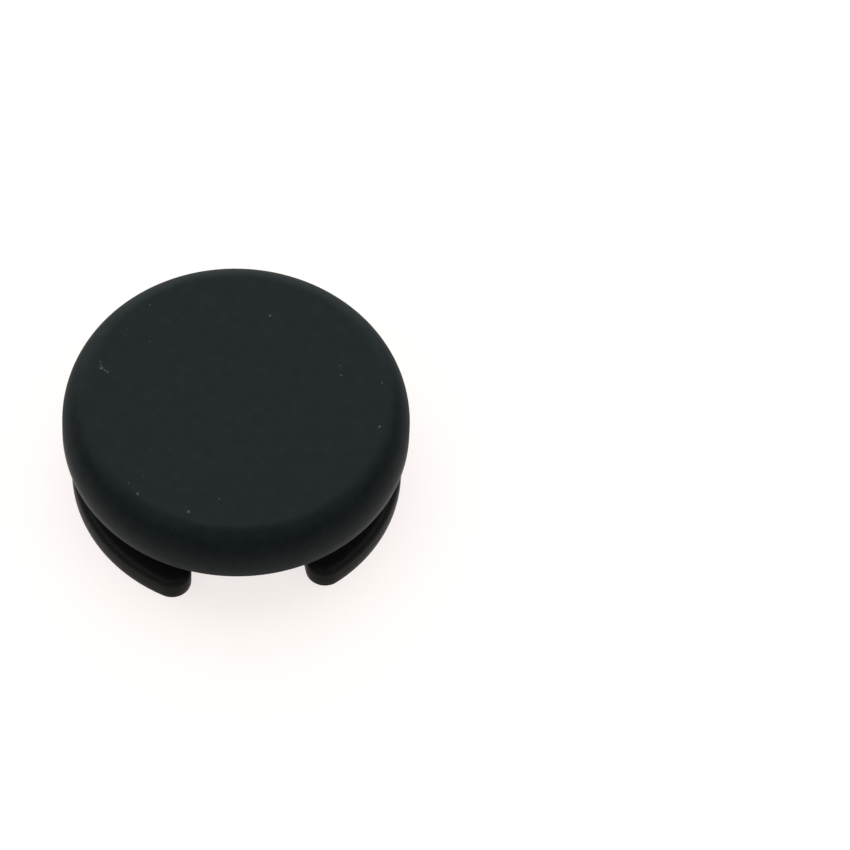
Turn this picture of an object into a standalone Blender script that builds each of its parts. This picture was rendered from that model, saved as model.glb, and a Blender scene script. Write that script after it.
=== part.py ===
"""Thumbstick cap of a handheld games console, moulded in one piece.

A round thumb plate stands on a short boss, and a thinner flange spreads round the foot
of the boss. The edge of the console's shell runs in the groove between plate and flange.
The flange is open at the front, so that it makes two horns, and a socket with two flats
in its underside is pressed onto the slider's post.

The origin is on the axis of the plate, in the plane of the flange's underside. +Z points
out of the thumb face, and the opening between the horns faces -Y.
"""

import math

import bmesh
import bpy

MM = 0.001

# Thumb plate: a flat face, a shoulder that is a quarter of an ellipse, and a low wall.
PLATE_DIAMETER = 17.0 * MM
SHOULDER_WIDTH = 1.24 * MM
SHOULDER_HEIGHT = 1.74 * MM
RIM_WALL_HEIGHT = 0.86 * MM
RIM_EDGE_RADIUS = 0.12 * MM

# Groove that the shell runs in, and the boss that crosses it.
GROOVE_HEIGHT = 1.44 * MM
BOSS_DIAMETER = 6.6 * MM
BOSS_FILLET = 0.3 * MM

# Flange: its circle is set off the plate's axis, towards the opening.
FLANGE_DIAMETER = 16.2 * MM
FLANGE_THICKNESS = 1.27 * MM
FLANGE_OFFSET = 0.63 * MM
FLANGE_UPPER_ROUND = 0.4 * MM
FLANGE_LOWER_ROUND = 0.12 * MM

# Opening between the horns. Its back corners reach past the front of the boss.
NOTCH_WIDTH = 4.8 * MM
NOTCH_FLARE = math.radians(5.5)
NOTCH_RELIEF = 0.68 * MM
NOTCH_CORNER_RADIUS = 0.32 * MM
HORN_TIP_RADIUS = 0.95 * MM

# Socket for the slider's post: a round hole with two flats and rounded corners.
SOCKET_DIAMETER = 3.5 * MM
SOCKET_ACROSS_FLATS = 2.52 * MM
SOCKET_CORNER_RADIUS = 0.5 * MM
SOCKET_ROOF = 1.5 * MM
SOCKET_LEAD_IN = 0.1 * MM

# Marks of two mould pins, and a shallow pocket, in the flange's underside.
PIN_MARK_DIAMETER = 3.5 * MM
PIN_MARK_DEPTH = 0.15 * MM
PIN_MARK_LAND = 1.03 * MM
POCKET_WIDTH = 5.5 * MM
POCKET_LENGTH = 1.76 * MM
POCKET_DEPTH = 0.5 * MM
POCKET_CORNER_RADIUS = 0.35 * MM
POCKET_DRAFT = 0.15 * MM
POCKET_LAND = 2.0 * MM

# How finely curves are divided.
ROUND_STEPS = 96
SHOULDER_STEPS = 9
EDGE_STEPS = 3
CORNER_STEPS = 6

# How far a cutter reaches past the face that it cuts.
CUT_MARGIN = 1.0 * MM

PLATE_RADIUS = PLATE_DIAMETER / 2
BOSS_RADIUS = BOSS_DIAMETER / 2
FLANGE_RADIUS = FLANGE_DIAMETER / 2
SOCKET_RADIUS = SOCKET_DIAMETER / 2
PIN_MARK_RADIUS = PIN_MARK_DIAMETER / 2
UNDERSIDE_HEIGHT = FLANGE_THICKNESS + GROOVE_HEIGHT
CAP_HEIGHT = UNDERSIDE_HEIGHT + RIM_EDGE_RADIUS + RIM_WALL_HEIGHT + SHOULDER_HEIGHT


def clear_scene():
    for old in list(bpy.data.objects):
        bpy.data.objects.remove(old)


def rubber():
    """Black soft-touch rubber with a fine matt surface."""
    material = bpy.data.materials.new("soft_touch_rubber")
    material.use_nodes = True
    shader = material.node_tree.nodes["Principled BSDF"]
    shader.inputs["Base Color"].default_value = (0.024, 0.029, 0.031, 1.0)
    shader.inputs["Roughness"].default_value = 0.62
    shader.inputs["Metallic"].default_value = 0.0
    return material


def arc(centre, radius, start, end, steps):
    """Points on an arc of a circle or, where radius is a pair, of an ellipse."""
    across, up = radius if isinstance(radius, tuple) else (radius, radius)
    points = []
    for step in range(steps + 1):
        angle = start + (end - start) * step / steps
        points.append((centre[0] + across * math.cos(angle), centre[1] + up * math.sin(angle)))
    return points


def object_from(mesh_data, name, smooth_angle=math.radians(32)):
    """A mesh object made from a bmesh, with its faces pointing out."""
    bmesh.ops.remove_doubles(mesh_data, verts=mesh_data.verts, dist=0.0001 * MM)
    bmesh.ops.recalc_face_normals(mesh_data, faces=mesh_data.faces)
    mesh = bpy.data.meshes.new(name)
    mesh_data.to_mesh(mesh)
    mesh_data.free()
    mesh.shade_smooth()
    mesh.set_sharp_from_angle(angle=smooth_angle)
    made = bpy.data.objects.new(name, mesh)
    bpy.context.scene.collection.objects.link(made)
    return made


def revolved(profile, name):
    """A solid turned about the Z axis. The profile's points are (radius, height)."""
    shape = bmesh.new()
    vertices = [shape.verts.new((radius, 0.0, height)) for radius, height in profile]
    edges = [shape.edges.new(pair) for pair in zip(vertices, vertices[1:])]
    bmesh.ops.spin(
        shape,
        geom=vertices + edges,
        cent=(0.0, 0.0, 0.0),
        axis=(0.0, 0.0, 1.0),
        angle=2 * math.pi,
        steps=ROUND_STEPS,
        use_merge=True,
    )
    return object_from(shape, name)


def lofted(rings, name):
    """A solid through closed outlines of equal length, each a (points, height) pair."""
    shape = bmesh.new()
    loops = [[shape.verts.new((x, y, height)) for x, y in points] for points, height in rings]
    for lower, upper in zip(loops, loops[1:]):
        for index in range(len(lower)):
            after = (index + 1) % len(lower)
            shape.faces.new((lower[index], lower[after], upper[after], upper[index]))
    shape.faces.new(loops[0][::-1])
    shape.faces.new(loops[-1])
    return object_from(shape, name)


def plate_and_boss():
    """The thumb plate and the boss below it, as one turned solid."""
    underside = UNDERSIDE_HEIGHT
    wall_foot = underside + RIM_EDGE_RADIUS
    wall_top = wall_foot + RIM_WALL_HEIGHT
    profile = [(0.0, CAP_HEIGHT)]
    profile += arc(
        (PLATE_RADIUS - SHOULDER_WIDTH, wall_top),
        (SHOULDER_WIDTH, SHOULDER_HEIGHT),
        math.pi / 2,
        0.0,
        SHOULDER_STEPS,
    )
    profile += arc(
        (PLATE_RADIUS - RIM_EDGE_RADIUS, wall_foot),
        RIM_EDGE_RADIUS,
        0.0,
        -math.pi / 2,
        EDGE_STEPS,
    )
    profile += arc(
        (BOSS_RADIUS + BOSS_FILLET, underside - BOSS_FILLET),
        BOSS_FILLET,
        math.pi / 2,
        math.pi,
        EDGE_STEPS,
    )
    profile += arc(
        (BOSS_RADIUS - FLANGE_LOWER_ROUND, FLANGE_LOWER_ROUND),
        FLANGE_LOWER_ROUND,
        0.0,
        -math.pi / 2,
        EDGE_STEPS,
    )
    profile.append((0.0, 0.0))
    return revolved(profile, "thumbstick_cap")


def notch_walls():
    """The opening's right-hand wall: its back end, the way along it and the way into the horn."""
    back = -(BOSS_RADIUS - NOTCH_RELIEF)
    along = (math.sin(NOTCH_FLARE), -math.cos(NOTCH_FLARE))
    into_horn = (math.cos(NOTCH_FLARE), math.sin(NOTCH_FLARE))
    return (NOTCH_WIDTH / 2, back), along, into_horn


def horn_tip_centre():
    """Centre of the round that joins the opening's right-hand wall to the flange's circle."""
    (wall_x, wall_y), along, into_horn = notch_walls()
    start = (wall_x + into_horn[0] * HORN_TIP_RADIUS, wall_y + into_horn[1] * HORN_TIP_RADIUS)
    from_centre = (start[0], start[1] + FLANGE_OFFSET)
    reach = FLANGE_RADIUS - HORN_TIP_RADIUS
    half_b = from_centre[0] * along[0] + from_centre[1] * along[1]
    rest = from_centre[0] ** 2 + from_centre[1] ** 2 - reach**2
    distance = -half_b + math.sqrt(half_b**2 - rest)
    return start[0] + along[0] * distance, start[1] + along[1] * distance


def notch_corner_centre():
    """Centre of the round in the opening's right-hand back corner."""
    (wall_x, back), _, into_horn = notch_walls()
    down = NOTCH_CORNER_RADIUS
    across = (NOTCH_CORNER_RADIUS - down * into_horn[1]) / into_horn[0]
    return wall_x - across, back - down


def flange_outline(inset):
    """The flange's outline, drawn in by inset, anticlockwise from the right-hand horn."""
    tip = horn_tip_centre()
    corner = notch_corner_centre()
    centre = (0.0, -FLANGE_OFFSET)
    outer_start = math.atan2(tip[1] + FLANGE_OFFSET, tip[0])
    inward = math.pi + NOTCH_FLARE
    right_tip = arc(tip, HORN_TIP_RADIUS - inset, inward - 2 * math.pi, outer_start, CORNER_STEPS)
    outer = arc(centre, FLANGE_RADIUS - inset, outer_start, math.pi - outer_start, ROUND_STEPS)
    left_tip = [(-x, y) for x, y in reversed(right_tip)]
    right_corner = arc(corner, NOTCH_CORNER_RADIUS + inset, math.pi / 2, NOTCH_FLARE, CORNER_STEPS)
    left_corner = [(-x, y) for x, y in reversed(right_corner)]
    return right_tip[:-1] + outer + left_tip[1:] + left_corner + right_corner


def flange():
    """The flange, with its lower and upper edges rounded."""
    lower, upper = FLANGE_LOWER_ROUND, FLANGE_UPPER_ROUND
    rings = []
    for inset, height in arc((0.0, lower), lower, -math.pi / 2, 0.0, EDGE_STEPS):
        rings.append((flange_outline(lower - inset), height))
    for inset, height in arc((0.0, FLANGE_THICKNESS - upper), upper, 0.0, math.pi / 2, EDGE_STEPS):
        rings.append((flange_outline(upper - inset), height))
    return lofted(rings, "flange")


def socket_outline(growth):
    """A circle with two flats and rounded corners, made wider all round by growth."""
    corner_x = SOCKET_ACROSS_FLATS / 2 - SOCKET_CORNER_RADIUS
    reach = SOCKET_RADIUS - SOCKET_CORNER_RADIUS
    corner_y = math.sqrt(reach**2 - corner_x**2)
    meeting = math.atan2(corner_y, corner_x)
    radius = SOCKET_CORNER_RADIUS + growth
    right = arc((corner_x, corner_y), radius, 0.0, meeting, CORNER_STEPS)
    end = arc((0.0, 0.0), SOCKET_RADIUS + growth, meeting, math.pi - meeting, CORNER_STEPS)
    upper = right + end[1:-1] + [(-x, y) for x, y in reversed(right)]
    return upper + [(-x, -y) for x, y in upper]


def socket():
    """Cutter for the socket, with a lead-in at its mouth."""
    mouth = socket_outline(SOCKET_LEAD_IN)
    bore = socket_outline(0.0)
    rings = [
        (mouth, -CUT_MARGIN),
        (mouth, 0.0),
        (bore, SOCKET_LEAD_IN),
        (bore, CAP_HEIGHT - SOCKET_ROOF),
    ]
    return lofted(rings, "socket_cutter")


def pin_mark(side):
    """Cutter for one mould pin's round mark. side is -1 or 1."""
    across = side * (FLANGE_RADIUS - PIN_MARK_LAND - PIN_MARK_RADIUS)
    outline = arc((across, 0.0), PIN_MARK_RADIUS, 0.0, 2 * math.pi, ROUND_STEPS // 2)[:-1]
    name = "left_pin_mark_cutter" if side < 0 else "right_pin_mark_cutter"
    return lofted([(outline, -CUT_MARGIN), (outline, PIN_MARK_DEPTH)], name)


def pocket_outline(inset):
    """A rectangle with round corners, drawn in by inset."""
    back = FLANGE_RADIUS - FLANGE_OFFSET - POCKET_LAND
    middle = back - POCKET_LENGTH / 2
    corner_x = POCKET_WIDTH / 2 - POCKET_CORNER_RADIUS
    corner_y = POCKET_LENGTH / 2 - POCKET_CORNER_RADIUS
    radius = POCKET_CORNER_RADIUS - inset
    points = []
    for quarter, (right, up) in enumerate(((1, 1), (-1, 1), (-1, -1), (1, -1))):
        start = quarter * math.pi / 2
        centre = (right * corner_x, middle + up * corner_y)
        points += arc(centre, radius, start, start + math.pi / 2, CORNER_STEPS)
    return points


def pocket():
    """Cutter for the shallow pocket, whose walls lean in towards its floor."""
    mouth = pocket_outline(0.0)
    rings = [(mouth, -CUT_MARGIN), (mouth, 0.0), (pocket_outline(POCKET_DRAFT), POCKET_DEPTH)]
    return lofted(rings, "pocket_cutter")


def combine(body, helper, operation):
    """Joins the helper to the body, or cuts it out, with a Boolean that stays live."""
    helper.hide_render = True
    helper.display_type = "WIRE"
    boolean = body.modifiers.new(helper.name, "BOOLEAN")
    boolean.operation = operation
    boolean.solver = "EXACT"
    boolean.object = helper


def main():
    clear_scene()
    cap = plate_and_boss()
    cap.data.materials.append(rubber())
    combine(cap, flange(), "UNION")
    for cutter in (socket(), pin_mark(-1), pin_mark(1), pocket()):
        combine(cap, cutter, "DIFFERENCE")


main()
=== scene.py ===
"""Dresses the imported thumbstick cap: moulded surfaces, flash, dust, the table, lamps and camera."""

import math
import random

import bmesh
import bpy
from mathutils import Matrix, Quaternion, Vector
from mathutils.geometry import tessellate_polygon


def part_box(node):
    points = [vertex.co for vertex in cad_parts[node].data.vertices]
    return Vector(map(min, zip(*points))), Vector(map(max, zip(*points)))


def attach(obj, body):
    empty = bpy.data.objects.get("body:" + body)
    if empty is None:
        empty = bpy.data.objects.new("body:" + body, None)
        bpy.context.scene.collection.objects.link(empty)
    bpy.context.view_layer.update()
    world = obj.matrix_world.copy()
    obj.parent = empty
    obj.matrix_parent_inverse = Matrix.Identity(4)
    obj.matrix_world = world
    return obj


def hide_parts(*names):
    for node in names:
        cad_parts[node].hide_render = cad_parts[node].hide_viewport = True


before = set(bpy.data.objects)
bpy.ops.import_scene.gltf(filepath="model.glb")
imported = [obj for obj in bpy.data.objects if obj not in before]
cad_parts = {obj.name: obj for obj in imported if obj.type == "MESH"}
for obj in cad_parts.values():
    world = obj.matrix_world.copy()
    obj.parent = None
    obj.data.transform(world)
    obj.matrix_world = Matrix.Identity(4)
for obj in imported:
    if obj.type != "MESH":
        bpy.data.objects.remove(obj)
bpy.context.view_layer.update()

# Thumb plate and boss. The plate is the round pad that the thumb pushes: flat on top, with a
# soft shoulder and a low wall. The boss below it carries it. Both leave the mould as one turned
# shape, so a profile is drawn here and turned about the cap's axis by Geometry Nodes.

MM = 0.001
low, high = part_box("thumbstick_cap")
plate_radius = (high[0] - low[0]) / 2
cap_height = high[2]
shoulder_width = 1.24 * MM
shoulder_height = 1.74 * MM
plate_underside = 2.71 * MM
rim_edge_radius = 0.12 * MM
boss_radius = 3.3 * MM
boss_fillet = 0.3 * MM
ring_by_fillet = boss_fillet * 1.1
bottom_edge_radius = 0.1 * MM
wall_ring_drop = 0.4 * MM
weld_distance = 0.0002 * MM
plate_segments = 256


def arc(centre, radius, start, end, steps):
    """Points on an arc of a circle or, where radius is a pair, of an ellipse."""
    across, up = radius if isinstance(radius, tuple) else (radius, radius)
    points = []
    for step in range(steps + 1):
        angle = start + (end - start) * step / steps
        points.append((centre[0] + across * math.cos(angle), centre[1] + up * math.sin(angle)))
    return points


def mesh_object(shape, name):
    """An object at the origin that holds the bmesh, welded, with its faces pointing out."""
    bmesh.ops.remove_doubles(shape, verts=shape.verts, dist=weld_distance)
    bmesh.ops.recalc_face_normals(shape, faces=shape.faces)
    mesh = bpy.data.meshes.new(name)
    shape.to_mesh(mesh)
    shape.free()
    made = bpy.data.objects.new(name, mesh)
    bpy.context.scene.collection.objects.link(made)
    return made


def plain_mesh(piece, name):
    """A plain mesh object made from what the piece's modifiers give. The piece itself goes."""
    evaluated = piece.evaluated_get(bpy.context.evaluated_depsgraph_get())
    mesh = bpy.data.meshes.new_from_object(evaluated)
    mesh.name = name
    made = bpy.data.objects.new(name, mesh)
    bpy.context.scene.collection.objects.link(made)
    bpy.data.objects.remove(piece)
    return made


def add_input(tree, name, kind):
    """Gives the node tree a named input."""
    return tree.interface.new_socket(name=name, in_out="INPUT", socket_type=kind)


def set_input(modifier, name, value):
    """Sets a node modifier's input by its socket's identifier."""
    for item in modifier.node_group.interface.items_tree:
        if item.item_type == "SOCKET" and item.in_out == "INPUT" and item.name == name:
            modifier[item.identifier] = value


def maths(tree, operation, *values):
    """A Math node in the tree. Each value is a number or another node's output."""
    node = tree.nodes.new("ShaderNodeMath")
    node.operation = operation
    for socket, value in zip(node.inputs, values):
        if isinstance(value, bpy.types.NodeSocket):
            tree.links.new(value, socket)
        else:
            socket.default_value = value
    return node.outputs[0]


def turning_tree():
    """Geometry Nodes that turn a profile, whose points are (radius, 0, height), about Z."""
    tree = bpy.data.node_groups.new("turned_moulding", "GeometryNodeTree")
    add_input(tree, "Profile", "NodeSocketGeometry")
    add_input(tree, "Segments", "NodeSocketInt")
    add_input(tree, "Weld Distance", "NodeSocketFloat")
    add_input(tree, "Material", "NodeSocketMaterial")
    tree.interface.new_socket(name="Moulding", in_out="OUTPUT", socket_type="NodeSocketGeometry")
    nodes, links = tree.nodes, tree.links
    entry = nodes.new("NodeGroupInput")
    leave = nodes.new("NodeGroupOutput")
    size = nodes.new("GeometryNodeAttributeDomainSize")
    links.new(entry.outputs["Profile"], size.inputs["Geometry"])
    count = size.outputs["Point Count"]
    grid = nodes.new("GeometryNodeMeshGrid")
    links.new(maths(tree, "ADD", entry.outputs["Segments"], 1.0), grid.inputs["Vertices X"])
    links.new(count, grid.inputs["Vertices Y"])
    index = nodes.new("GeometryNodeInputIndex").outputs[0]
    along = maths(tree, "MODULO", index, count)
    turn = maths(tree, "FLOOR", maths(tree, "DIVIDE", index, count))
    step = maths(tree, "DIVIDE", 2 * math.pi, entry.outputs["Segments"])
    angle = maths(tree, "MULTIPLY", turn, step)
    sample = nodes.new("GeometryNodeSampleIndex")
    sample.data_type = "FLOAT_VECTOR"
    links.new(entry.outputs["Profile"], sample.inputs["Geometry"])
    links.new(nodes.new("GeometryNodeInputPosition").outputs[0], sample.inputs["Value"])
    links.new(along, sample.inputs["Index"])
    parts = nodes.new("ShaderNodeSeparateXYZ")
    links.new(sample.outputs[0], parts.inputs[0])
    place = nodes.new("ShaderNodeCombineXYZ")
    x = maths(tree, "MULTIPLY", parts.outputs[0], maths(tree, "COSINE", angle))
    y = maths(tree, "MULTIPLY", parts.outputs[0], maths(tree, "SINE", angle))
    links.new(x, place.inputs[0])
    links.new(y, place.inputs[1])
    links.new(parts.outputs[2], place.inputs[2])
    move = nodes.new("GeometryNodeSetPosition")
    links.new(grid.outputs["Mesh"], move.inputs["Geometry"])
    links.new(place.outputs[0], move.inputs["Position"])
    weld = nodes.new("GeometryNodeMergeByDistance")
    links.new(move.outputs[0], weld.inputs["Geometry"])
    links.new(entry.outputs["Weld Distance"], weld.inputs["Distance"])
    real = nodes.new("GeometryNodeRealizeInstances")
    links.new(weld.outputs[0], real.inputs[0])
    paint = nodes.new("GeometryNodeSetMaterial")
    links.new(real.outputs[0], paint.inputs["Geometry"])
    links.new(entry.outputs["Material"], paint.inputs["Material"])
    links.new(paint.outputs[0], leave.inputs[0])
    return tree


def plate_profile():
    """The plate and boss from the middle of the thumb face down to the middle of the foot."""
    wall_top = cap_height - shoulder_height
    flat_radius = plate_radius - shoulder_width
    points = [(0.0, cap_height)]
    points += [(flat_radius * share, cap_height) for share in (0.25, 0.5, 0.75, 0.95, 0.995)]
    shoulder = (flat_radius, wall_top)
    points += arc(shoulder, (shoulder_width, shoulder_height), math.pi / 2, 0.0, 32)
    points += [(plate_radius, wall_top - wall_ring_drop)]
    rim = (plate_radius - rim_edge_radius, plate_underside + rim_edge_radius)
    points += arc(rim, rim_edge_radius, 0.0, -math.pi / 2, 6)
    points += [(plate_radius - 2 * rim_edge_radius, plate_underside)]
    points += [(boss_radius + ring_by_fillet, plate_underside)]
    root = (boss_radius + boss_fillet, plate_underside - boss_fillet)
    points += arc(root, boss_fillet, math.pi / 2, math.pi, 6)
    foot = (boss_radius - bottom_edge_radius, bottom_edge_radius)
    points += arc(foot, bottom_edge_radius, 0.0, -math.pi / 2, 4)
    points += [(boss_radius - 2 * bottom_edge_radius, 0.0), (0.0, 0.0)]
    return points


def turned(profile, segments, name):
    """A plain mesh of the profile turned about the cap's axis. It gets no material here, because
    the faces get their finishes once the hollows are cut."""
    shape = bmesh.new()
    vertices = [shape.verts.new((radius, 0.0, height)) for radius, height in profile]
    for pair in zip(vertices, vertices[1:]):
        shape.edges.new(pair)
    mesh = bpy.data.meshes.new(name + "_profile")
    shape.to_mesh(mesh)
    shape.free()
    drawn = bpy.data.objects.new(name + "_profile", mesh)
    bpy.context.scene.collection.objects.link(drawn)
    turning = drawn.modifiers.new("turning", "NODES")
    turning.node_group = turning_tree()
    set_input(turning, "Segments", segments)
    set_input(turning, "Weld Distance", weld_distance)
    return plain_mesh(drawn, name)


moulding = turned(plate_profile(), plate_segments, "moulded_cap")

# Flange. The thin round skirt at the foot of the boss stays below the console's shell and
# hides the hole that the cap slides in. It is cut open at the front, which leaves two horns
# with round tips. It is moulded with the boss, so here it is drawn and then joined to it.

flange_radius = 8.1 * MM
flange_offset = 0.63 * MM
flange_thickness = 1.27 * MM
flange_upper_round = 0.4 * MM
notch_half_width = 2.4 * MM
notch_flare = math.radians(5.5)
notch_back = boss_radius - 0.68 * MM
notch_corner_radius = 0.32 * MM
horn_tip_radius = 0.95 * MM
flange_steps = 220


def flange_outline(inset):
    """The flange's outline, drawn in by inset, anticlockwise from the right-hand horn."""
    along = Vector((math.sin(notch_flare), -math.cos(notch_flare)))
    into_horn = Vector((math.cos(notch_flare), math.sin(notch_flare)))
    centre = Vector((0.0, -flange_offset))
    start = Vector((notch_half_width, -notch_back)) + into_horn * horn_tip_radius
    half_b = (start - centre).dot(along)
    rest = (start - centre).length_squared - (flange_radius - horn_tip_radius) ** 2
    tip = start + along * (math.sqrt(half_b * half_b - rest) - half_b)
    corner_y = -notch_back - notch_corner_radius
    lean = notch_corner_radius * (1.0 - into_horn.y) / into_horn.x
    corner = (notch_half_width - lean, corner_y)
    meets_tip = math.atan2(tip.y - centre.y, tip.x)
    right_tip = arc(tip, horn_tip_radius - inset, notch_flare - math.pi, meets_tip, 16)
    outer = arc(centre, flange_radius - inset, meets_tip, math.pi - meets_tip, flange_steps)
    right_corner = arc(corner, notch_corner_radius + inset, math.pi / 2, notch_flare, 10)
    left_tip = [(-x, y) for x, y in reversed(right_tip)]
    left_corner = [(-x, y) for x, y in reversed(right_corner)]
    return right_tip[:-1] + outer + left_tip[1:] + left_corner + right_corner


def lofted(rings, name):
    """A closed solid through outlines of equal length, each a (points, height) pair."""
    shape = bmesh.new()
    loops = [[shape.verts.new((x, y, height)) for x, y in points] for points, height in rings]
    for lower, upper in zip(loops, loops[1:]):
        for index in range(len(lower)):
            after = (index + 1) % len(lower)
            shape.faces.new((lower[index], lower[after], upper[after], upper[index]))
    shape.faces.new(loops[0][::-1])
    shape.faces.new(loops[-1])
    return mesh_object(shape, name)


def rounded_rings(outline, thickness, lower_round, upper_round):
    """Rings for lofted, whose lower and upper edges are rounded."""
    rings = []
    for across, height in arc((0.0, lower_round), lower_round, -math.pi / 2, 0.0, 5):
        rings.append((outline(lower_round - across), height))
    for across, height in arc((0.0, thickness - upper_round), upper_round, 0.0, math.pi / 2, 8):
        rings.append((outline(upper_round - across), height))
    return rings


flange_rings = rounded_rings(
    flange_outline, flange_thickness, bottom_edge_radius, flange_upper_round
)
flange = lofted(flange_rings, "flange")

# Hollows in the underside. The socket grips the slider's post by its two flats, and the
# shallow pocket at the back is a relief. Each is cut from the moulding by a solid of its own
# shape, whose mouth widens in a small round as the mould's edges do.

socket_radius = 1.75 * MM
socket_half_flats = 1.26 * MM
socket_corner_radius = 0.5 * MM
socket_roof = 1.5 * MM
socket_depth = cap_height - socket_roof
socket_mouth_round = 0.1 * MM
pocket_half_width = 2.75 * MM
pocket_half_length = 0.88 * MM
pocket_from_edge = 2.0 * MM
pocket_middle = flange_radius - flange_offset - pocket_from_edge - pocket_half_length
pocket_depth = 0.5 * MM
pocket_corner_radius = 0.35 * MM
pocket_draft = 0.15 * MM
pocket_mouth_round = 0.06 * MM
below = -1.0 * MM  # where each cutter starts, under the cap's foot


def socket_outline(growth):
    """The socket's outline, made wider all round by growth."""
    corner_x = socket_half_flats - socket_corner_radius
    corner_y = math.sqrt((socket_radius - socket_corner_radius) ** 2 - corner_x**2)
    meeting = math.atan2(corner_y, corner_x)
    right = arc((corner_x, corner_y), socket_corner_radius + growth, 0.0, meeting, 10)
    end = arc((0.0, 0.0), socket_radius + growth, meeting, math.pi - meeting, 16)
    upper = right + end[1:-1] + [(-x, y) for x, y in reversed(right)]
    return upper + [(-x, -y) for x, y in upper]


def pocket_outline(growth):
    """The pocket's outline, made wider all round by growth."""
    corner_x = pocket_half_width - pocket_corner_radius
    corner_y = pocket_half_length - pocket_corner_radius
    points = []
    for quarter, (right, up) in enumerate(((1, 1), (-1, 1), (-1, -1), (1, -1))):
        start = quarter * math.pi / 2
        centre = (right * corner_x, pocket_middle + up * corner_y)
        points += arc(centre, pocket_corner_radius + growth, start, start + math.pi / 2, 8)
    return points


def mouth_rings(outline, mouth_round):
    """Rings for a cutter whose mouth opens in a rounded edge at the underside."""
    rings = [(outline(mouth_round), below)]
    for across, height in arc((mouth_round, mouth_round), mouth_round, -math.pi / 2, -math.pi, 4):
        rings.append((outline(across), height))
    return rings


def combine(body, other, operation):
    """Joins the other solid to the body or cuts it out, and removes it."""
    boolean = body.modifiers.new("boolean", "BOOLEAN")
    boolean.operation = operation
    boolean.solver = "EXACT"
    boolean.object = other
    body = plain_mesh(body, body.name)
    bpy.data.objects.remove(other)
    return body


moulding = combine(moulding, flange, "UNION")
socket_rings = mouth_rings(socket_outline, socket_mouth_round)
socket_rings += [(socket_outline(0.0), socket_depth)]
moulding = combine(moulding, lofted(socket_rings, "socket"), "DIFFERENCE")
pocket_rings = mouth_rings(pocket_outline, pocket_mouth_round)
pocket_rings += [(pocket_outline(-pocket_draft), pocket_depth)]
moulding = combine(moulding, lofted(pocket_rings, "pocket"), "DIFFERENCE")

# Pin marks. Two mould pins pressed these smooth round marks into the underside. The right one
# is nearly flush, with a fine gap round it, and the skin beside both of them is torn.

pin_radius = 1.75 * MM
pin_from_edge = 1.03 * MM
pin_across = flange_radius - pin_from_edge - pin_radius
right_pin_depth = 0.1 * MM
right_pin_gap = 0.07 * MM
right_pin_gap_depth = 0.3 * MM
left_pin_depth = 0.3 * MM
tear_depth = 0.75 * MM
curl_depth = 0.5 * MM
nick_depth = 0.55 * MM
tear_narrowing = 0.12
hole_place = (-5.99 * MM, 2.20 * MM)
hole_radius = 0.1 * MM
hole_depth = 0.3 * MM
skin_bed_depth = 0.12 * MM
skin_seed = 11

# How ragged the torn edges are and the places that they run through, in millimetres.
tear_raggedness = 0.025
skin_raggedness = 0.02
tear_places = [
    (5.04, 1.67), (5.11, 1.43), (5.46, 1.47), (5.68, 1.16), (5.95, 0.80), (6.26, 0.76),
    (6.64, 0.89), (6.77, 0.63), (6.92, 0.18), (7.08, 0.2), (7.02, 0.63), (6.85, 1.07), (6.63, 1.47),
    (6.14, 1.72), (5.88, 1.85), (5.65, 1.92), (5.51, 2.14), (5.42, 1.92), (5.04, 1.83),
]
curl_places = [
    (7.02, -0.13), (6.86, -0.21), (6.53, -0.35), (6.30, -0.57), (6.26, -0.87), (6.28, -1.36),
    (6.18, -1.60), (5.79, -1.72), (5.79, -1.90), (5.83, -2.03), (6.36, -1.97), (6.59, -1.56),
    (6.69, -1.21), (6.90, -0.89), (7.17, -0.57), (7.18, -0.28),
]
nick_places = [
    (-5.96, 1.62), (-6.41, 1.50), (-6.62, 1.30), (-6.93, 0.92), (-7.09, 0.42), (-6.93, 0.47),
    (-6.78, 0.82), (-6.54, 1.14), (-6.38, 0.98), (-6.12, 1.07), (-5.96, 1.34),
]
skin_places = [
    (-4.52, 1.72), (-4.75, 1.92), (-5.18, 2.17), (-5.47, 2.38), (-5.67, 2.25), (-5.88, 1.98),
    (-5.96, 1.70), (-5.70, 1.66), (-5.30, 1.72), (-4.90, 1.66),
]


def disc(side, radius):
    """A round outline about a pin mark's middle. Side is 1 for the right one, -1 for the left."""
    return arc((side * pin_across, 0.0), radius, 0.0, 2 * math.pi, 96)[:-1]


def torn(places, roughness, seed):
    """A ragged outline through places given in millimetres, anticlockwise."""
    chance = random.Random(seed)
    points = []
    for here, after in zip(places, places[1:] + places[:1]):
        for share in (0.0, 0.35, 0.7):
            x = here[0] + (after[0] - here[0]) * share + chance.uniform(-roughness, roughness)
            y = here[1] + (after[1] - here[1]) * share + chance.uniform(-roughness, roughness)
            points.append((x * MM, y * MM))
    area = sum(a[0] * b[1] - b[0] * a[1] for a, b in zip(points, points[1:] + points[:1]))
    return points if area > 0.0 else points[::-1]


def drawn_in(points, share):
    """The outline drawn in towards its middle by a share of its size."""
    middle_x = sum(x for x, y in points) / len(points)
    middle_y = sum(y for x, y in points) / len(points)
    return [(x + (middle_x - x) * share, y + (middle_y - y) * share) for x, y in points]


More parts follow.
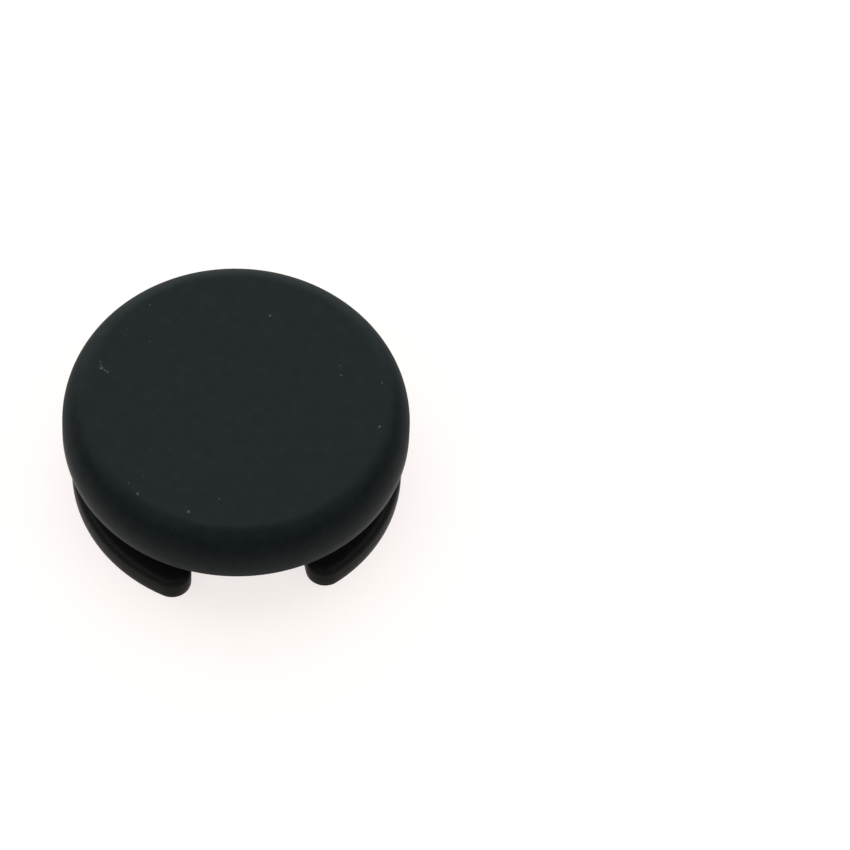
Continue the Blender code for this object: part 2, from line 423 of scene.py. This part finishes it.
right_gap_inside = disc(1, pin_radius - right_pin_gap)
right_rings = [(disc(1, pin_radius), below), (disc(1, pin_radius), right_pin_gap_depth)]
right_rings += [(right_gap_inside, right_pin_gap_depth), (right_gap_inside, right_pin_depth)]
moulding = combine(moulding, lofted(right_rings, "right_pin"), "DIFFERENCE")
left_rings = [(disc(-1, pin_radius), below), (disc(-1, pin_radius), left_pin_depth)]
moulding = combine(moulding, lofted(left_rings, "left_pin"), "DIFFERENCE")
tears = (
    (tear_places, tear_depth, 3),
    (curl_places, curl_depth, 5),
    (nick_places, nick_depth, 7),
)
for places, depth, seed in tears:
    outline = torn(places, tear_raggedness, seed)
    rings = [(outline, below), (outline, 0.0), (drawn_in(outline, tear_narrowing), depth)]
    moulding = combine(moulding, lofted(rings, "tear"), "DIFFERENCE")
hole = arc(hole_place, hole_radius, 0.0, 2 * math.pi, 12)[:-1]
moulding = combine(moulding, lofted([(hole, below), (hole, hole_depth)], "hole"), "DIFFERENCE")
skin_bed = torn(skin_places, skin_raggedness, skin_seed)
skin_rings = [(skin_bed, below), (skin_bed, skin_bed_depth)]
moulding = combine(moulding, lofted(skin_rings, "skin"), "DIFFERENCE")

# Finish of the moulding. The thumb plate is fine soft-touch rubber, almost black. The faces of
# the underside carry the grain of a spark-eroded mould, whose glitter is partly painted into the
# colour as pale specks, and the walls between them are satin. The pins were polished, so their
# marks are smoother, greyer and scratched.

mottle_scale = 1800.0
scratch_scale = 9000.0
scratch_stretch = 6.0
scratch_direction = math.radians(122)
scratch_depth = 0.004 * MM


def grain_group():
    """A shader group that gives a moulded grain: its height, and how the colour varies."""
    tree = bpy.data.node_groups.new("moulded_grain", "ShaderNodeTree")
    add_input(tree, "Place", "NodeSocketVector")
    add_input(tree, "Grain Size", "NodeSocketFloat")
    tree.interface.new_socket(name="Height", in_out="OUTPUT", socket_type="NodeSocketFloat")
    tree.interface.new_socket(name="Mottle", in_out="OUTPUT", socket_type="NodeSocketFloat")
    nodes, links = tree.nodes, tree.links
    entry = nodes.new("NodeGroupInput")
    leave = nodes.new("NodeGroupOutput")
    fine = nodes.new("ShaderNodeTexNoise")
    fine.inputs["Detail"].default_value = 3.0
    links.new(entry.outputs["Place"], fine.inputs["Vector"])
    links.new(maths(tree, "DIVIDE", 1.0, entry.outputs["Grain Size"]), fine.inputs["Scale"])
    broad = nodes.new("ShaderNodeTexNoise")
    broad.inputs["Scale"].default_value = mottle_scale
    broad.inputs["Detail"].default_value = 2.0
    links.new(entry.outputs["Place"], broad.inputs["Vector"])
    both = maths(tree, "ADD", fine.outputs[0], broad.outputs[0])
    links.new(fine.outputs[0], leave.inputs["Height"])
    links.new(maths(tree, "MULTIPLY", both, 0.5), leave.inputs["Mottle"])
    return tree


def speck_group():
    """A shader group that gives a mask of scattered specks, used for dust and for the painted glints
    of a grain's facets.
    """
    least_size, edge_hardness, least_strength = 0.3, 2.0, 0.2
    tree = bpy.data.node_groups.new("scattered_specks", "ShaderNodeTree")
    add_input(tree, "Place", "NodeSocketVector")
    add_input(tree, "Spacing", "NodeSocketFloat")
    add_input(tree, "Speck Size", "NodeSocketFloat")
    add_input(tree, "Share", "NodeSocketFloat")
    tree.interface.new_socket(name="Mask", in_out="OUTPUT", socket_type="NodeSocketFloat")
    nodes, links = tree.nodes, tree.links
    entry = nodes.new("NodeGroupInput")
    leave = nodes.new("NodeGroupOutput")
    cells = nodes.new("ShaderNodeTexVoronoi")
    links.new(entry.outputs["Place"], cells.inputs["Vector"])
    links.new(maths(tree, "DIVIDE", 1.0, entry.outputs["Spacing"]), cells.inputs["Scale"])
    chance = nodes.new("ShaderNodeSeparateColor")
    links.new(cells.outputs["Color"], chance.inputs[0])
    kept = maths(tree, "LESS_THAN", chance.outputs[0], entry.outputs["Share"])
    reach = maths(tree, "DIVIDE", entry.outputs["Speck Size"], entry.outputs["Spacing"])
    reach = maths(tree, "MULTIPLY", reach, maths(tree, "ADD", chance.outputs[1], least_size))
    near = maths(tree, "SUBTRACT", 1.0, maths(tree, "DIVIDE", cells.outputs["Distance"], reach))
    soft = maths(tree, "MULTIPLY", near, edge_hardness)
    soft = maths(tree, "MAXIMUM", maths(tree, "MINIMUM", soft, 1.0), 0.0)
    strength = maths(tree, "MULTIPLY", soft, maths(tree, "ADD", chance.outputs[2], least_strength))
    links.new(maths(tree, "MULTIPLY", kept, strength), leave.inputs["Mask"])
    return tree


def two_tones(tree, value, dark, light, start=0.0, end=1.0):
    """A colour that goes from dark to light as the value goes from start to end."""
    ramp = tree.nodes.new("ShaderNodeValToRGB")
    first, last = ramp.color_ramp.elements
    first.position, last.position = start, end
    first.color, last.color = (*dark, 1.0), (*light, 1.0)
    tree.links.new(value, ramp.inputs[0])
    return ramp.outputs[0]


moulded_grain = grain_group()
scattered_specks = speck_group()


def rubber(
    name, dark, light, roughness, specular, grain_size, grain_depth, speck, speck_or_painted_glint_colour, glint=0.0
):
    """Black rubber whose colour wanders between dark and light, with pale specks in the colour:
    dust on most finishes, and painted glints on the glittering grain. Where glint is given, the
    specks also get a reflecting coat. speck holds their spacing, their size and the share of
    places that have one."""
    material = bpy.data.materials.new(name)
    material.use_nodes = True
    tree = material.node_tree
    nodes, links = tree.nodes, tree.links
    shader = nodes["Principled BSDF"]
    place = nodes.new("ShaderNodeTexCoord").outputs["Object"]
    grain = nodes.new("ShaderNodeGroup")
    grain.node_tree = moulded_grain
    links.new(place, grain.inputs["Place"])
    grain.inputs["Grain Size"].default_value = grain_size
    tone = two_tones(tree, grain.outputs["Mottle"], dark, light, 0.38, 0.62)
    specks = nodes.new("ShaderNodeGroup")
    specks.node_tree = scattered_specks
    links.new(place, specks.inputs["Place"])
    for socket, value in zip(("Spacing", "Speck Size", "Share"), speck):
        specks.inputs[socket].default_value = value
    blend = nodes.new("ShaderNodeMix")
    blend.data_type = "RGBA"
    links.new(specks.outputs["Mask"], blend.inputs[0])
    links.new(tone, blend.inputs[6])
    blend.inputs[7].default_value = (*speck_or_painted_glint_colour, 1.0)
    links.new(blend.outputs[2], shader.inputs["Base Color"])
    bump = nodes.new("ShaderNodeBump")
    bump.inputs["Distance"].default_value = grain_depth
    links.new(grain.outputs["Height"], bump.inputs["Height"])
    links.new(bump.outputs[0], shader.inputs["Normal"])
    if glint:
        glinting = maths(tree, "MULTIPLY", specks.outputs["Mask"], glint)
        links.new(glinting, shader.inputs["Coat Weight"])
        shader.inputs["Coat Roughness"].default_value = 0.2
    shader.inputs["Roughness"].default_value = roughness
    shader.inputs["Specular IOR Level"].default_value = specular
    return material


def scratched(name, dark, light, roughness, specular):
    """Smooth rubber with fine scratches that all run one way."""
    material = bpy.data.materials.new(name)
    material.use_nodes = True
    tree = material.node_tree
    nodes, links = tree.nodes, tree.links
    shader = nodes["Principled BSDF"]
    turn = nodes.new("ShaderNodeMapping")
    turn.vector_type = "TEXTURE"
    turn.inputs["Rotation"].default_value = (0.0, 0.0, scratch_direction)
    turn.inputs["Scale"].default_value = (scratch_stretch, 1.0, 1.0)
    links.new(nodes.new("ShaderNodeTexCoord").outputs["Object"], turn.inputs["Vector"])
    scratches = nodes.new("ShaderNodeTexNoise")
    scratches.inputs["Scale"].default_value = scratch_scale
    scratches.inputs["Detail"].default_value = 4.0
    links.new(turn.outputs[0], scratches.inputs["Vector"])
    tone = two_tones(tree, scratches.outputs[0], dark, light, 0.35, 0.65)
    links.new(tone, shader.inputs["Base Color"])
    bump = nodes.new("ShaderNodeBump")
    bump.inputs["Distance"].default_value = scratch_depth
    links.new(scratches.outputs[0], bump.inputs["Height"])
    links.new(bump.outputs[0], shader.inputs["Normal"])
    shader.inputs["Roughness"].default_value = roughness
    shader.inputs["Specular IOR Level"].default_value = specular
    return material


def glossier_below(material, bottom, top, roughness):
    """Lets the material's roughness fall to the given one from the height top down to bottom."""
    tree = material.node_tree
    shader = tree.nodes["Principled BSDF"]
    height = tree.nodes.new("ShaderNodeSeparateXYZ")
    tree.links.new(tree.nodes.new("ShaderNodeTexCoord").outputs["Object"], height.inputs[0])
    fall = tree.nodes.new("ShaderNodeMapRange")
    fall.interpolation_type = "SMOOTHSTEP"
    for socket, value in zip(
        ("From Min", "From Max", "To Min", "To Max"),
        (bottom, top, roughness, shader.inputs["Roughness"].default_value),
    ):
        fall.inputs[socket].default_value = value
    tree.links.new(height.outputs[2], fall.inputs["Value"])
    tree.links.new(fall.outputs[0], shader.inputs["Roughness"])


soft_touch = rubber(
    "soft_touch_rubber",
    dark=(0.0012, 0.0038, 0.0046),
    light=(0.0036, 0.0078, 0.0088),
    roughness=0.58,
    specular=0.122,
    grain_size=0.09 * MM,
    grain_depth=0.002 * MM,
    speck=(0.5 * MM, 0.05 * MM, 0.2),
    speck_or_painted_glint_colour=(0.012, 0.017, 0.017),
)
glossier_below(soft_touch, plate_underside, cap_height - shoulder_height, roughness=0.3)
# The pale specks in this colour are painted glints of the grain's facets, and its strong mottle is
# partly painted glitter and partly the rubber's own varying tone. The coat on the specks is a real
# reflecting layer.
spark_grain = rubber(
    "spark_grained_rubber",
    dark=(0.0035, 0.0090, 0.0115),
    light=(0.0190, 0.0330, 0.0390),
    roughness=0.22,
    specular=0.22,
    grain_size=0.09 * MM,
    grain_depth=0.006 * MM,
    speck=(0.12 * MM, 0.055 * MM, 0.3),
    speck_or_painted_glint_colour=(0.03, 0.036, 0.036),
    glint=0.6,
)
satin_wall = rubber(
    "satin_rubber",
    dark=(0.0058, 0.0066, 0.0058),
    light=(0.0078, 0.0088, 0.0078),
    roughness=0.45,
    specular=0.07,
    grain_size=0.12 * MM,
    grain_depth=0.003 * MM,
    speck=(0.4 * MM, 0.05 * MM, 0.15),
    speck_or_painted_glint_colour=(0.03, 0.034, 0.034),
)
glossier_below(satin_wall, 0.15 * MM, 0.5 * MM, roughness=0.25)
pin_polish = scratched(
    "pin_polished_rubber",
    dark=(0.030, 0.046, 0.049),
    light=(0.050, 0.072, 0.076),
    roughness=0.33,
    specular=0.3,
)

finishes = (soft_touch, spark_grain, satin_wall, pin_polish)
on_plate, on_underside, on_walls, on_pins = range(len(finishes))
tear_reach = 1.4 * pin_radius
depth_tolerance = 0.01 * MM
above_rim = plate_underside + 0.001 * MM

moulding.data.materials.clear()
for material in finishes:
    moulding.data.materials.append(material)
for face in moulding.data.polygons:
    middle, facing = face.center, face.normal.z
    from_axis = math.hypot(middle.x, middle.y)
    from_pin = math.hypot(abs(middle.x) - pin_across, middle.y)
    off_pin_floor = min(abs(middle.z - right_pin_depth), abs(middle.z - left_pin_depth))
    in_tear = from_pin < tear_reach and depth_tolerance < middle.z < flange_thickness
    if from_pin < pin_radius and off_pin_floor < depth_tolerance and facing < -0.9:
        face.material_index = on_pins
    elif middle.z > above_rim and facing > -0.99:
        in_socket = from_axis <= boss_radius and facing <= 0.5
        face.material_index = on_walls if in_socket else on_plate
    elif facing < -0.75 and not in_tear:
        face.material_index = on_underside
    else:
        face.material_index = on_walls
moulding.data.shade_smooth()
moulding.data.set_sharp_from_angle(angle=math.radians(40))
weighted = moulding.modifiers.new("weighted", "WEIGHTED_NORMAL")
weighted.keep_sharp = True
weighted.weight = 60
moulding = plain_mesh(moulding, "moulded_cap")
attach(moulding, "root")
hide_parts("thumbstick_cap")

# Flash. Thin torn skins of rubber that the pins left, still hanging in the tears beside their
# marks. Each is a sheet of its own outline, with a lifted edge.

flash_thickness = 0.06 * MM
flash_foot = 0.02 * MM
flash_clearance = 0.03
thin_edge = 0.4


def skin(places, seed, name, lift, towards):
    """A thin ragged sheet inside the outline. On the side of towards it is thinner and rises by
    lift."""
    outline = drawn_in(torn(places, skin_raggedness, seed), flash_clearance)
    reach = max(math.dist(point, towards) for point in outline)
    shape = bmesh.new()
    lower, upper = [], []
    for point in outline:
        share = math.dist(point, towards) / reach
        height = flash_foot + lift * (1.0 - share) ** 2
        thickness = flash_thickness * (thin_edge + (1.0 - thin_edge) * share)
        lower.append(shape.verts.new((*point, height)))
        upper.append(shape.verts.new((*point, height + thickness)))
    for index in range(len(outline)):
        after = (index + 1) % len(outline)
        shape.faces.new((lower[index], lower[after], upper[after], upper[index]))
    shape.faces.new(lower[::-1])
    shape.faces.new(upper)
    bmesh.ops.triangulate(shape, faces=[face for face in shape.faces if len(face.verts) > 4])
    return mesh_object(shape, name)


curled_places = [
    (6.80, -0.60), (6.60, -0.72), (6.44, -1.05), (6.33, -1.38), (6.22, -1.66), (5.88, -1.78),
    (5.82, -1.90), (6.24, -1.88), (6.44, -1.62), (6.54, -1.28), (6.70, -0.98),
]
right_curl = skin(
    curled_places, 5, "right_flash", lift=0.05 * MM, towards=(5.9 * MM, -0.9 * MM)
)
left_skin = skin(
    skin_places, skin_seed, "left_flash", lift=0.04 * MM, towards=(-5.5 * MM, 1.5 * MM)
)
for flash in (right_curl, left_skin):
    flash.data.materials.append(satin_wall)
    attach(flash, "root")

# Dust. A few pale specks of dust and lint lie on the thumb face, where they cling to the soft
# rubber. Geometry Nodes set one small crumb on each of a list of places.

crumb_flatness = 0.4
crumb_seed = 4
crumb_dents = 1.4
crumb_turn = (0.3, 0.3, 6.283)
crumb_widths = (0.7, 1.5)
lint_scale = 9000.0

# Each crumb's place across the face and its size, in millimetres.
crumb_places = [
    (2.12, 4.79, 0.065), (5.23, 0.98, 0.058), (6.78, -2.18, 0.058), (-5.27, -5.01, 0.075),
    (-2.92, -6.25, 0.075), (-3.69, 5.96, 0.038), (-3.89, 3.80, 0.032), (7.17, 0.37, 0.042),
    (-1.38, -5.64, 0.032), (-6.39, 2.43, 0.08), (-6.24, 2.29, 0.05), (-6.11, 2.19, 0.055),
    (-6.41, 2.80, 0.04), (-6.40, 2.62, 0.045), (-5.66, -4.35, 0.042), (5.25, 1.55, 0.03),
    (-4.9, 4.62, 0.025), (4.1, 3.6, 0.02), (0.9, -3.8, 0.02),
]


def crumb_tree():
    """Geometry Nodes that set a turned, dented crumb on every point, sized by its attribute."""
    tree = bpy.data.node_groups.new("settled_crumbs", "GeometryNodeTree")
    add_input(tree, "Places", "NodeSocketGeometry")
    add_input(tree, "Flatness", "NodeSocketFloat")
    add_input(tree, "Seed", "NodeSocketInt")
    add_input(tree, "Material", "NodeSocketMaterial")
    tree.interface.new_socket(name="Crumbs", in_out="OUTPUT", socket_type="NodeSocketGeometry")
    nodes, links = tree.nodes, tree.links
    entry = nodes.new("NodeGroupInput")
    leave = nodes.new("NodeGroupOutput")
    ball = nodes.new("GeometryNodeMeshIcoSphere")
    ball.inputs["Radius"].default_value = 1.0
    ball.inputs["Subdivisions"].default_value = 3
    dents = nodes.new("ShaderNodeTexNoise")
    dents.inputs["Scale"].default_value = crumb_dents
    push = nodes.new("ShaderNodeVectorMath")
    push.operation = "SCALE"
    links.new(nodes.new("GeometryNodeInputNormal").outputs[0], push.inputs[0])
    links.new(maths(tree, "SUBTRACT", dents.outputs[0], 0.5), push.inputs["Scale"])
    dented = nodes.new("GeometryNodeSetPosition")
    links.new(ball.outputs["Mesh"], dented.inputs["Geometry"])
    links.new(push.outputs[0], dented.inputs["Offset"])
    turn = nodes.new("FunctionNodeRandomValue")
    turn.data_type = "FLOAT_VECTOR"
    turn.inputs[1].default_value = crumb_turn
    links.new(entry.outputs["Seed"], turn.inputs["Seed"])
    size = nodes.new("GeometryNodeInputNamedAttribute")
    size.data_type = "FLOAT"
    size.inputs["Name"].default_value = "size"
    spread = nodes.new("FunctionNodeRandomValue")
    spread.data_type = "FLOAT"
    spread.inputs[2].default_value, spread.inputs[3].default_value = crumb_widths
    links.new(entry.outputs["Seed"], spread.inputs["Seed"])
    scale = nodes.new("ShaderNodeCombineXYZ")
    links.new(maths(tree, "MULTIPLY", size.outputs[0], spread.outputs[1]), scale.inputs[0])
    links.new(size.outputs[0], scale.inputs[1])
    links.new(maths(tree, "MULTIPLY", size.outputs[0], entry.outputs["Flatness"]), scale.inputs[2])
    place = nodes.new("GeometryNodeInstanceOnPoints")
    links.new(entry.outputs["Places"], place.inputs["Points"])
    links.new(dented.outputs[0], place.inputs["Instance"])
    links.new(turn.outputs[0], place.inputs["Rotation"])
    links.new(scale.outputs[0], place.inputs["Scale"])
    real = nodes.new("GeometryNodeRealizeInstances")
    links.new(place.outputs[0], real.inputs[0])
    paint = nodes.new("GeometryNodeSetMaterial")
    links.new(real.outputs[0], paint.inputs["Geometry"])
    links.new(entry.outputs["Material"], paint.inputs["Material"])
    links.new(paint.outputs[0], leave.inputs[0])
    return tree


lint = bpy.data.materials.new("pale_lint")
lint.use_nodes = True
tree = lint.node_tree
shader = tree.nodes["Principled BSDF"]
fluff = tree.nodes.new("ShaderNodeTexNoise")
fluff.inputs["Scale"].default_value = lint_scale
tree.links.new(tree.nodes.new("ShaderNodeTexCoord").outputs["Object"], fluff.inputs["Vector"])
tone = two_tones(tree, fluff.outputs[0], (0.034, 0.043, 0.043), (0.082, 0.095, 0.092))
tree.links.new(tone, shader.inputs["Base Color"])
shader.inputs["Roughness"].default_value = 0.9
shader.inputs["Specular IOR Level"].default_value = 0.2

points = bpy.data.meshes.new("crumb_places")
points.from_pydata([(x * MM, y * MM, cap_height) for x, y, size in crumb_places], [], [])
sizes_of = points.attributes.new("size", "FLOAT", "POINT")
for index, (x, y, size) in enumerate(crumb_places):
    sizes_of.data[index].value = size * MM
scattered = bpy.data.objects.new("crumb_places", points)
bpy.context.scene.collection.objects.link(scattered)
settling = scattered.modifiers.new("settling", "NODES")
settling.node_group = crumb_tree()
set_input(settling, "Flatness", crumb_flatness)
set_input(settling, "Seed", crumb_seed)
set_input(settling, "Material", lint)
crumbs = plain_mesh(scattered, "settled_crumbs")
crumbs.data.shade_smooth()
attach(crumbs, "root")

# Table. A sheet of white acrylic, lit also from beneath, so bright that only the soft shadow in
# front of the cap shows on it. To reflections it is darker. It can be seen through from below
# and is open under the cap's foot, so that the underside can be looked at.

floor_reach = 0.6
floor_gap = 0.002 * MM
floor_height = low[2] - floor_gap
glow_share = 0.7
glow_to_camera = 1.12
glow_in_reflections = 0.66
sheet = [(x * floor_reach, y * floor_reach) for x, y in ((-1, -1), (1, -1), (1, 1), (-1, 1))]
window = flange_outline(bottom_edge_radius)
corners = [Vector((x, y, floor_height)) for x, y in sheet + window]
shape = bmesh.new()
vertices = [shape.verts.new(corner) for corner in corners]
for triangle in tessellate_polygon([corners[:4], corners[4:]]):
    shape.faces.new([vertices[index] for index in triangle])
table = mesh_object(shape, "table")
if table.data.polygons[0].normal.z < 0.0:
    table.data.flip_normals()
white = bpy.data.materials.new("white_table")
white.use_nodes = True
tree = white.node_tree
nodes, links = tree.nodes, tree.links
shader = nodes["Principled BSDF"]
shader.inputs["Base Color"].default_value = (0.95, 0.89, 0.87, 1.0)
shader.inputs["Roughness"].default_value = 0.9
shader.inputs["Specular IOR Level"].default_value = 0.0
glow = nodes.new("ShaderNodeEmission")
glow.inputs["Color"].default_value = (1.0, 0.945, 0.925, 1.0)
light_path = nodes.new("ShaderNodeLightPath")
to_camera = light_path.outputs["Is Camera Ray"]
in_reflections = light_path.outputs["Is Glossy Ray"]
mirrored = maths(tree, "MULTIPLY", in_reflections, glow_in_reflections)
direct = maths(tree, "MULTIPLY", to_camera, glow_to_camera)
links.new(maths(tree, "ADD", mirrored, direct), glow.inputs["Strength"])
lit = nodes.new("ShaderNodeMixShader")
seen = maths(tree, "MAXIMUM", to_camera, in_reflections)
links.new(maths(tree, "MULTIPLY", seen, glow_share), lit.inputs[0])
links.new(shader.outputs[0], lit.inputs[1])
links.new(glow.outputs[0], lit.inputs[2])
clear = nodes.new("ShaderNodeBsdfTransparent")
seen_through = nodes.new("ShaderNodeMixShader")
from_below = nodes.new("ShaderNodeNewGeometry").outputs["Backfacing"]
let_through = maths(tree, "MAXIMUM", from_below, light_path.outputs["Is Shadow Ray"])
links.new(let_through, seen_through.inputs[0])
links.new(lit.outputs[0], seen_through.inputs[1])
links.new(clear.outputs[0], seen_through.inputs[2])
links.new(seen_through.outputs[0], nodes["Material Output"].inputs[0])
table.data.materials.append(white)

# Lamps. The cap stands in a tent of five soft boxes: a roof over its back half, a back wall that
# reaches down to the table, and three other walls that start well above it. A sixth box lights
# the underside. Outside the tent it is dark, and the backdrop is white for the camera alone.

tent_reach = 0.4
tent_width = 2 * tent_reach
tent_height = 0.6
wall_height = 0.3
wall_middle = 0.45


def soft_box(name, place, towards, size, level, colour=(1.0, 1.0, 1.0)):
    """A rectangular lamp that faces along towards. A level of 1 is as bright as white paper."""
    width, height = size
    lamp = bpy.data.lights.new(name, "AREA")
    lamp.shape = "RECTANGLE"
    lamp.size = width
    lamp.size_y = height
    lamp.energy = math.pi * width * height * level
    lamp.color = colour
    made = bpy.data.objects.new(name, lamp)
    bpy.context.scene.collection.objects.link(made)
    made.location = place
    made.rotation_euler = (-Vector(towards)).to_track_quat("Z", "Y").to_euler()
    made.visible_camera = False


cool = (0.92, 1.0, 1.0)
roof_place = (0.0, tent_reach / 2, tent_height)
back_place = (0.0, tent_reach, tent_height / 2)
wall_size = (tent_width, wall_height)
soft_box("roof_box", roof_place, (0, 0, -1), (tent_width, tent_reach), level=1.47, colour=cool)
soft_box("back_box", back_place, (0, -1, 0), (tent_width, tent_height), level=2.30, colour=cool)
soft_box("left_box", (-tent_reach, 0.0, wall_middle), (1, 0, 0), wall_size, level=2.66)
soft_box("right_box", (tent_reach, 0.0, wall_middle), (-1, 0, 0), wall_size, level=2.28)
soft_box("front_box", (0.0, -tent_reach, wall_middle), (0, 1, 0), wall_size, level=1.77)
soft_box("box_below", (0.0, 0.0, -0.3), (0, 0, 1), (1.0, 1.0), level=1.5)

world = bpy.data.worlds.new("studio")
bpy.context.scene.world = world
world.use_nodes = True
tree = world.node_tree
backdrop = tree.nodes["Background"]
backdrop.inputs["Color"].default_value = (1.0, 1.0, 1.0, 1.0)
light_path = tree.nodes.new("ShaderNodeLightPath")
tree.links.new(light_path.outputs["Is Camera Ray"], backdrop.inputs["Strength"])

# Camera. It looks down on the cap from the front through a long lens, turned a little to the
# right of the cap, so that the cap stands left of the middle as it does in the photograph.

camera_elevation = math.radians(56.56)
camera_turn = math.radians(5.07)
camera_distance = 383.4 * MM
camera_pan = math.radians(2.076)
half_frame_px = 425
focal_length_px = 7752
field_of_view = 2 * math.atan(half_frame_px / focal_length_px)
aim = Vector((-4.296, 2.520, 0.0)) * MM

lens = bpy.data.cameras.new("camera")
lens.sensor_width = 36.0
lens.lens = lens.sensor_width / 2 / math.tan(field_of_view / 2)
lens.clip_start = 0.01
lens.clip_end = 10.0
camera = bpy.data.objects.new("camera", lens)
bpy.context.scene.collection.objects.link(camera)
towards = Vector((
    -math.cos(camera_elevation) * math.sin(camera_turn),
    -math.cos(camera_elevation) * math.cos(camera_turn),
    math.sin(camera_elevation),
))
camera.location = aim + towards * camera_distance
straight = towards.to_track_quat("Z", "Y")
camera.rotation_euler = (straight @ Quaternion((0.0, 1.0, 0.0), -camera_pan)).to_euler()
bpy.context.scene.camera = camera
bpy.context.scene.view_settings.view_transform = "Standard"
